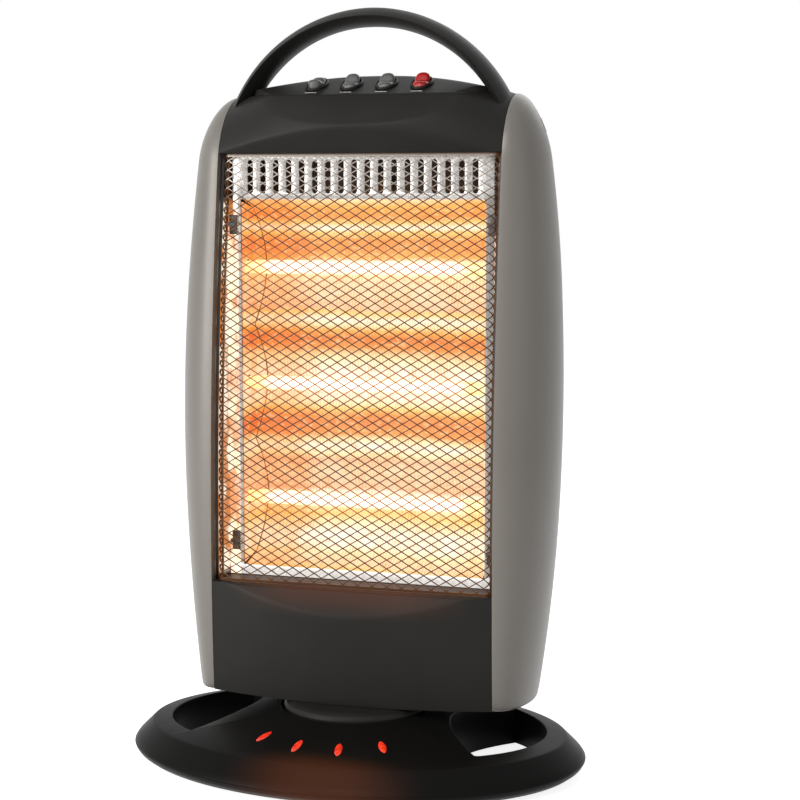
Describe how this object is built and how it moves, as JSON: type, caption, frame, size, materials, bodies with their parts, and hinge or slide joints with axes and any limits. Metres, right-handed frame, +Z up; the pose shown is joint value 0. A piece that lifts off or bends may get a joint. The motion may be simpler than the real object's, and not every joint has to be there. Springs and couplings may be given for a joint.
{
  "type": "halogen heater",
  "caption": "Upright halogen heater: lamps in a troughed reflector behind a diamond wire guard, side covers, arched handle, rocker switches, on an oval swivelling base ring.",
  "frame": {"origin": "middle of the footprint on the floor, on the head's swivel axis", "axes": "+Z up, -Y to the front where the heat comes out, +X to the right as one faces the heater"},
  "size_m": [0.332, 0.2358, 0.535],
  "materials": {
    "black_plastic": "fine satin texture",
    "grey_cover": "warm grey satin paint",
    "grey_rocker": "satin",
    "red_rocker": "glossy",
    "red_insert": "glossy",
    "bright_sheet": "bright rolled sheet",
    "guard_wire": "dark plated wire",
    "steel": "zinc plated",
    "ceramic": "unglazed ceramic",
    "quartz": "clear quartz",
    "tungsten": "glowing when on",
    "rubber": "matt",
    "phenolic": "matt"
  },
  "bodies": {
    "base": {"base_shell": "black_plastic", "base_underplate": "black_plastic", "foot_front_left": "rubber", "foot_front_right": "rubber", "foot_rear_left": "rubber", "foot_rear_right": "rubber", "slot_insert_1": "red_insert", "slot_insert_2": "red_insert", "slot_insert_3": "red_insert", "slot_insert_4": "red_insert", "crank_track": "steel", "tip_switch_body": "phenolic", "cord_gland": "rubber"},
    "head": {"swivel_disc": "black_plastic", "head_floor": "black_plastic", "lower_front_panel": "black_plastic", "rear_cover": "black_plastic", "chassis": "black_plastic", "control_housing": "black_plastic", "carry_handle": "black_plastic", "guard_bracket_lower_left": "black_plastic", "guard_bracket_upper_left": "black_plastic", "guard_bracket_lower_right": "black_plastic", "guard_bracket_upper_right": "black_plastic", "switch_body_1": "black_plastic", "switch_body_2": "black_plastic", "switch_body_3": "black_plastic", "switch_body_4": "black_plastic", "left_side_cover": "grey_cover", "right_side_cover": "grey_cover", "reflector": "bright_sheet", "reflector_end_left": "bright_sheet", "reflector_end_right": "bright_sheet", "reflector_frame": "bright_sheet", "wire_guard": "guard_wire", "swivel_retainer": "steel", "swing_motor": "steel", "left_cover_screw": "steel", "right_cover_screw": "steel", "thermal_cutout": "steel", "lamp_tube_1": "quartz", "lamp_filament_1": "tungsten", "lamp_holder_left_1": "ceramic", "lamp_holder_right_1": "ceramic", "lamp_tube_2": "quartz", "lamp_filament_2": "tungsten", "lamp_holder_left_2": "ceramic", "lamp_holder_right_2": "ceramic", "lamp_tube_3": "quartz", "lamp_filament_3": "tungsten", "lamp_holder_left_3": "ceramic", "lamp_holder_right_3": "ceramic", "terminal_block": "ceramic"},
    "crank": {"motor_crank": "steel"},
    "plunger": {"tip_switch_plunger": "red_rocker"},
    "switch_rocker_1": {"rocker_1": "grey_rocker"},
    "switch_rocker_2": {"rocker_2": "grey_rocker"},
    "switch_rocker_3": {"rocker_3": "grey_rocker"},
    "switch_rocker_4": {"rocker_4": "red_rocker"}
  },
  "joints": [
    {"name": "head_swivel", "type": "hinge", "parent": "base", "child": "head", "pos_m": [0, 0, 0.041], "axis": [0, 0, 1], "range_deg": [-35, 35]},
    {"name": "crank_spin", "type": "hinge", "parent": "head", "child": "crank", "pos_m": [0, 0.027, 0.04], "axis": [0, 0, 1], "range_deg": [-95, 95]},
    {"name": "switch_1_rock", "type": "hinge", "parent": "head", "child": "switch_rocker_1", "pos_m": [-0.039, 0.0315, 0.48079], "axis": [1, 0, 0], "range_deg": [0, 24]},
    {"name": "switch_2_rock", "type": "hinge", "parent": "head", "child": "switch_rocker_2", "pos_m": [-0.013, 0.0315, 0.48079], "axis": [1, 0, 0], "range_deg": [-24, 0]},
    {"name": "switch_3_rock", "type": "hinge", "parent": "head", "child": "switch_rocker_3", "pos_m": [0.013, 0.0315, 0.48079], "axis": [1, 0, 0], "range_deg": [-24, 0]},
    {"name": "switch_4_rock", "type": "hinge", "parent": "head", "child": "switch_rocker_4", "pos_m": [0.039, 0.0315, 0.48079], "axis": [1, 0, 0], "range_deg": [-24, 0]},
    {"name": "tip_switch_slide", "type": "slide", "parent": "base", "child": "plunger", "axis": [0, 0, 1], "range_m": [-0.006, 0], "stiffness_N_per_m": 40, "springref_m": -0.006}
  ],
  "couplings": [
    {"joint": "crank_spin", "follows": "head_swivel", "ratio": -2.7}
  ]
}
